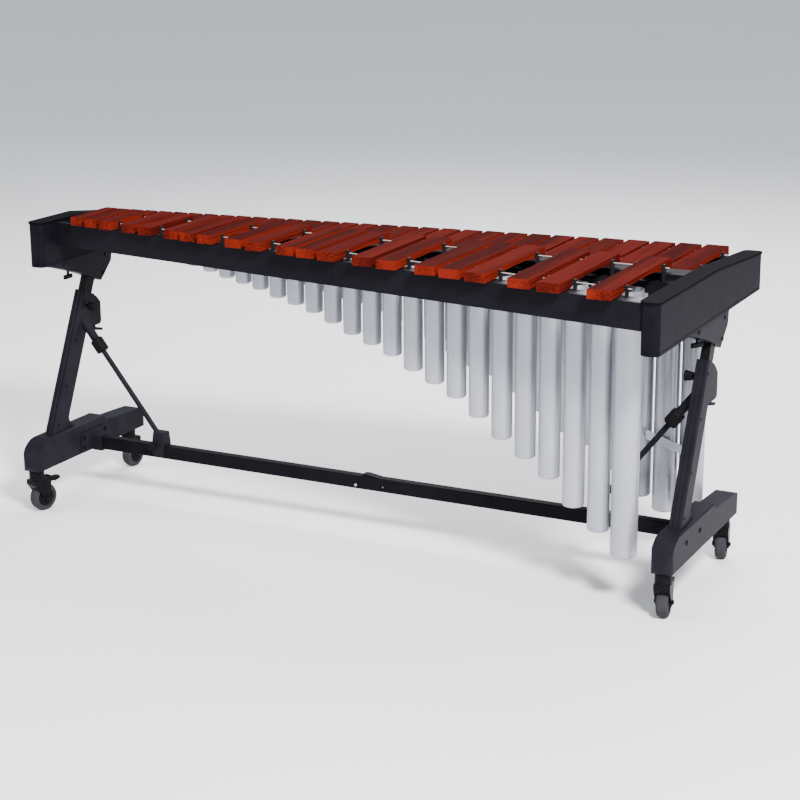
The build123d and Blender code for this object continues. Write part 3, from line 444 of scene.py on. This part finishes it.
def dome(radius: float, height: float) -> list[tuple[float, float]]:
    """Profile of a low domed head that stands on Z = 0.

    Args:
        radius: The head's radius.
        height: Its height in the middle, of which a quarter is its upright rim.

    Returns:
        Points as radius and height, from the rim inwards.
    """
    sunk = 0.0002
    rim = 0.25
    arc = [math.radians(angle) for angle in (0, 22, 45, 68)]
    crown = [(radius * math.cos(a), height * (rim + (1.0 - rim) * math.sin(a))) for a in arc]
    return [(radius, -sunk), *crown, (0.0, height)]


@dataclass
class KeyLayout:
    """Where the bars and tubes stand.

    Attributes:
        half: Half of the overall length.
        first_edge: X at which the lowest natural bar's space starts.
        low_pitch: Width of the lowest natural bar's space.
        high_pitch: Width of the highest one's.
        count: Number of natural bars.
        inner: Y of the natural bars' inner ends.
        raised_inner: Y of the raised bars' inner ends.
    """

    half: float = 1.025
    first_edge: float = 0.946
    low_pitch: float = 0.076
    high_pitch: float = 0.047
    count: int = 31
    inner: float = 0.048
    raised_inner: float = 0.012

    def along(self, low: float, high: float, x: float) -> float:
        """Run evenly between the two ends.

        Args:
            low: Value at the low end.
            high: Value at the high end.
            x: Where the value is taken.

        Returns:
            The value at x.
        """
        return high + (low - high) * (x + self.half) / (2 * self.half)

    def edges(self) -> list[float]:
        """Lines between the natural bars' spaces, from the low end."""
        lines = [self.first_edge]
        for i in range(self.count):
            share = i / (self.count - 1)
            lines.append(lines[-1] - self.low_pitch - (self.high_pitch - self.low_pitch) * share)
        return lines

    def naturals(self) -> list[float]:
        """Middles of the natural bars."""
        lines = self.edges()
        return [(a + b) / 2 for a, b in zip(lines, lines[1:])]

    def front(self, x: float) -> float:
        """Audience ends of the raised row."""
        return -self.along(0.457, 0.146, x)

    def rear(self, x: float) -> float:
        """Player's ends of the natural row."""
        return self.along(0.402, 0.159, x)

    def natural_tube(self, x: float) -> tuple[float, float]:
        """Y and radius of a tube under the natural row."""
        return (self.inner + self.rear(x)) / 2, self.along(0.036, 0.0195, x)

    def raised_tube(self, x: float) -> tuple[float, float]:
        """Y and radius of a tube under the raised row."""
        return (self.front(x) + self.raised_inner) / 2, self.along(0.031, 0.0195, x)


@dataclass
class ResonatorTrim:
    """Rivets that hold the tubes to their strips."""

    layout: KeyLayout
    natural_height: float = 0.785
    raised_height: float = 0.829
    head: float = 0.0032
    strip: float = 0.0034

    def build(self) -> None:
        """Make one rivet on each side of each tube."""
        form = bmesh.new()
        naturals = self.layout.naturals()[1:-1]
        raised = self.layout.edges()[3:-3]
        rows = [(x, self.natural_height, *self.layout.natural_tube(x)) for x in naturals]
        rows += [(x, self.raised_height, *self.layout.raised_tube(x)) for x in raised]
        for x, height, y, radius in rows:
            for side in (-1, 1):
                face = y + side * (radius * 1.003 + self.strip)
                turned(form, dome(self.head, self.head / 2), toward((0, side, 0), (x, face, height)), 10)
        mesh_piece("strip_rivets", form, STEEL, "top_frame")


@dataclass
class BeamGrommets:
    """Black rubber eyelets let into the centre beam between groups of raised bars."""

    layout: KeyLayout
    octave: int = 7
    plain_edges: tuple[int, int] = (1, 4)
    top: float = 0.864
    middle: float = 0.030

    def build(self) -> None:
        """Make one eyelet at each natural edge that has no raised bar."""
        form = bmesh.new()
        ring = [(0.0050, -0.001), (0.0050, 0.0008), (0.0062, 0.0018), (0.0088, 0.0018),
                (0.0100, 0.0006), (0.0100, -0.001)]
        oval = Matrix.Diagonal((1.4, 0.8, 1.0, 1.0))
        for i, x in enumerate(self.layout.edges()[:-2]):
            if i and (i - 1) % self.octave in self.plain_edges:
                turned(form, ring, Matrix.Translation((x, self.middle, self.top)) @ oval, 20)
        mesh_piece("beam_eyelets", form, KNOB, "top_frame")


@dataclass
class CordHooks:
    """A small closed spring sleeve on each end of the natural row's two cords."""

    layout: KeyLayout
    bore: float = 0.0017
    valley: float = 0.0026
    radius: float = 0.0032
    turns: int = 5
    pitch: float = 0.002
    height: float = 0.8535
    past_bar: float = 0.004
    node_share: float = 0.224

    def build(self) -> None:
        """Make a ribbed sleeve round both ends of the natural row's cords."""
        form = bmesh.new()
        edges = self.layout.edges()
        inner = self.layout.inner
        ribs = [(self.bore, 0.0)]
        for start in (turn * self.pitch for turn in range(self.turns)):
            ribs += [(self.radius, start + 0.0004), (self.radius, start + 0.0014)]
            ribs += [(self.valley, start + 0.0018)]
        ribs += [(self.bore, self.turns * self.pitch)]
        for share in (self.node_share, 1.0 - self.node_share):
            for edge, side in ((edges[0], 1), (edges[-1], -1)):
                y = inner + (self.layout.rear(edge + side * 2 * self.past_bar) - inner) * share
                turned(form, ribs, toward((side, 0, 0), (edge + side * self.past_bar, y, self.height)), 10)
        mesh_piece("cord_springs", form, STEEL, "top_frame")


@dataclass
class LegTrim:
    """Screws and bolts on one leg."""

    end: End
    lean: float = 24.7
    middle: float = 1.0
    screw_heights: tuple[float, ...] = (0.600, 0.489, 0.358, 0.248)
    screw_out: float = 0.018
    bolt_out: float = 0.019
    foot_out: float = 0.030
    pillar_at: tuple[float, float] = (0.029, 0.625)
    gusset_at: tuple[tuple[float, float], ...] = ((-0.095, 0.733), (0.120, 0.728), (0.105, 0.672))
    foot_at: tuple[tuple[float, float], ...] = ((-0.170, 0.185), (-0.060, 0.185))

    def pillar_y(self, height: float) -> float:
        """Y of the pillar's axis at a height."""
        y, z = self.pillar_at
        return y + (height - z) * math.tan(math.radians(self.lean))

    def build(self) -> None:
        """Make the leg's small fittings."""
        self.screws()
        self.gusset_bolts()
        self.foot_bolts()

    def screws(self) -> None:
        """Socket screws down both sides of the pillar, near its front edge."""
        form = bmesh.new()
        socket = [(0.0042, -0.0003), (0.0042, 0.0009), (0.0034, 0.0014), (0.0022, 0.0014),
                  (0.0022, 0.0003), (0.0, 0.0003)]
        for side in (-1, 1):
            for height in self.screw_heights:
                x = self.end.value * self.middle + side * self.screw_out
                place = (x, self.pillar_y(height) - self.screw_out, height)
                turned(form, socket, toward((side, 0, 0), place), 14)
        mesh_piece(f"{self.end.word}_pillar_screws", form, BLACK, "base")

    def gusset_bolts(self) -> None:
        """Domed bolts through the bracket under the end block."""
        form = bmesh.new()
        for side in (-1, 1):
            for y, z in self.gusset_at:
                place = (self.end.value * self.middle + side * self.bolt_out, y, z)
                turned(form, dome(0.0060, 0.0035), toward((side, 0, 0), place), 16)
        mesh_piece(f"{self.end.word}_gusset_bolts", form, BLACK, "top_frame")

    def foot_bolts(self) -> None:
        """Bolts through the side of the foot's front casting."""
        form = bmesh.new()
        outer = self.end.value
        for y, z in self.foot_at:
            place = (outer * (self.middle + self.foot_out), y, z)
            turned(form, dome(0.0070, 0.0035), toward((outer, 0, 0), place), 16)
        mesh_piece(f"{self.end.word}_foot_bolts", form, BLACK, "base")


@dataclass
class WheelTrim:
    """Hub cover and axle nuts of one caster.

    Attributes:
        name: The caster's name.
        pivot: X and Y of its swivel axis.
        angle: How far its fork stands from straight, in degrees.
        trail: The axle's distance behind the swivel axis.
        radius: The wheel's radius.
        cover_out: The hub covers' distance from the wheel's middle.
        nut_out: The axle heads' distance from it.
    """

    name: str
    pivot: tuple[float, float]
    angle: float
    trail: float = 0.020
    radius: float = 0.042
    cover_out: float = 0.0121
    nut_out: float = 0.0240

    def build(self) -> None:
        """Make the hub covers on the wheel and the axle heads on the fork."""
        turn = math.radians(self.angle)
        across = Vector((math.cos(turn), -math.sin(turn), 0.0))
        back = Vector((math.sin(turn), math.cos(turn), 0.0)) * self.trail
        axle = Vector((*self.pivot, self.radius)) + back
        hub = bmesh.new()
        nuts = bmesh.new()
        cover = [(0.0065, 0.0), (0.0125, 0.0), (0.0135, 0.0012), (0.0205, 0.0006),
                 (0.0225, 0.0022), (0.0255, 0.0022), (0.0265, 0.0)]
        nut = [(0.0070, -0.0004), (0.0070, 0.0012), (0.0056, 0.0022), (0.0030, 0.0026), (0.0, 0.0026)]
        for side in (-1, 1):
            direction = tuple(across * side)
            turned(hub, cover, toward(direction, tuple(axle + across * side * self.cover_out)), 28)
            turned(nuts, nut, toward(direction, tuple(axle + across * side * self.nut_out)), 12)
        mesh_piece(f"{self.name}_hub_cover", hub, KNOB, f"{self.name}_spin_body")
        mesh_piece(f"{self.name}_axle_heads", nuts, BLACK, f"{self.name}_swivel_body")


@dataclass
class Studio:
    """Floor, lamps and camera."""

    azimuth: float = 26.9
    elevation: float = 15.8
    roll: float = -0.4
    distance: float = 5.5992
    target: Point = (0.1054, 0.0, 0.4178)
    lens: float = 88.01

    def build(self) -> None:
        """Set the stage."""
        self.floor()
        self.lamp("key", (3.6, -3.0, 4.4), 1.1, 820.0)
        self.lamp("left_fill", (-4.4, -2.6, 2.6), 2.4, 110.0)
        self.lamp("over_back", (-0.6, 3.6, 4.2), 3.6, 330.0)
        self.world()
        self.camera()

    def floor(self) -> None:
        """A wide pale floor."""
        form = bmesh.new()
        bmesh.ops.create_grid(form, x_segments=2, y_segments=2, size=60.0)
        mesh = bpy.data.meshes.new("studio_floor")
        form.to_mesh(mesh)
        form.free()
        sheet = bpy.data.objects.new("studio_floor", mesh)
        bpy.context.scene.collection.objects.link(sheet)
        paint = Finish("floor_paint", (0.93, 0.93, 0.94), (0.95, 0.95, 0.95), 0.8, relief=0.00001,
                       mottle=(0.4, 0.4, 0.4))
        mesh.materials.append(paint.material())

    def lamp(self, name: str, place: Point, size: float, power: float) -> None:
        """Hang one square soft lamp, aimed at the instrument's middle.

        Args:
            name: The lamp's name.
            place: Where it hangs.
            size: Side of the square.
            power: Watts.
        """
        light = bpy.data.lights.new(name, "AREA")
        light.size = size
        light.energy = power
        thing = bpy.data.objects.new(name, light)
        bpy.context.scene.collection.objects.link(thing)
        aim = Vector((0.0, 0.0, 0.6)) - Vector(place)
        thing.matrix_world = Matrix.Translation(place) @ aim.to_track_quat("-Z", "Y").to_matrix().to_4x4()

    def world(self) -> None:
        """Even pale light from all round."""
        world = bpy.data.worlds.new("studio")
        world.use_nodes = True
        world.node_tree.nodes["Background"].inputs["Color"].default_value = (0.90, 0.94, 1.0, 1.0)
        world.node_tree.nodes["Background"].inputs["Strength"].default_value = 0.75
        bpy.context.scene.world = world

    def camera(self) -> None:
        """The camera, level but for a slight roll."""
        az, el, roll = (math.radians(v) for v in (self.azimuth, self.elevation, self.roll))
        ahead = Vector((-math.sin(az) * math.cos(el), math.cos(az) * math.cos(el), -math.sin(el)))
        right = Vector((math.cos(az), math.sin(az), 0.0))
        up = right.cross(ahead)
        side = right * math.cos(roll) + up * math.sin(roll)
        top = up * math.cos(roll) - right * math.sin(roll)
        place = Vector(self.target) - ahead * self.distance
        lens = bpy.data.cameras.new("studio_camera")
        lens.lens = self.lens
        lens.sensor_width = 36.0
        lens.clip_end = 200.0
        thing = bpy.data.objects.new("studio_camera", lens)
        bpy.context.scene.collection.objects.link(thing)
        turn = Matrix((side, top, -ahead)).transposed().to_4x4()
        thing.matrix_world = Matrix.Translation(place) @ turn
        bpy.context.scene.camera = thing


def dress_nodes() -> None:
    """Give every CAD node its finish."""
    for name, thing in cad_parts.items():
        finish: Optional[Finish] = NODE_FINISH.get(name)
        if finish is None:
            finish = next((f for end, f in SUFFIX_FINISH.items() if name.endswith(end)), FRAME)
        if not thing.material_slots:
            thing.data.materials.append(None)
        for holder in thing.material_slots:
            holder.material = finish.material()
        log.info("%s takes %s", name, finish.name)


def main() -> None:
    """Dress the instrument, add its small fittings and set the stage."""
    logging.basicConfig(level=logging.INFO)
    dress_nodes()
    layout = KeyLayout()
    ResonatorTrim(layout).build()
    BeamGrommets(layout).build()
    CordHooks(layout).build()
    for end in End:
        LegTrim(end).build()
    for name, (pivot, angle) in CASTERS.items():
        WheelTrim(name, pivot, angle).build()
    Studio().build()


if __name__ == "__main__":
    main()
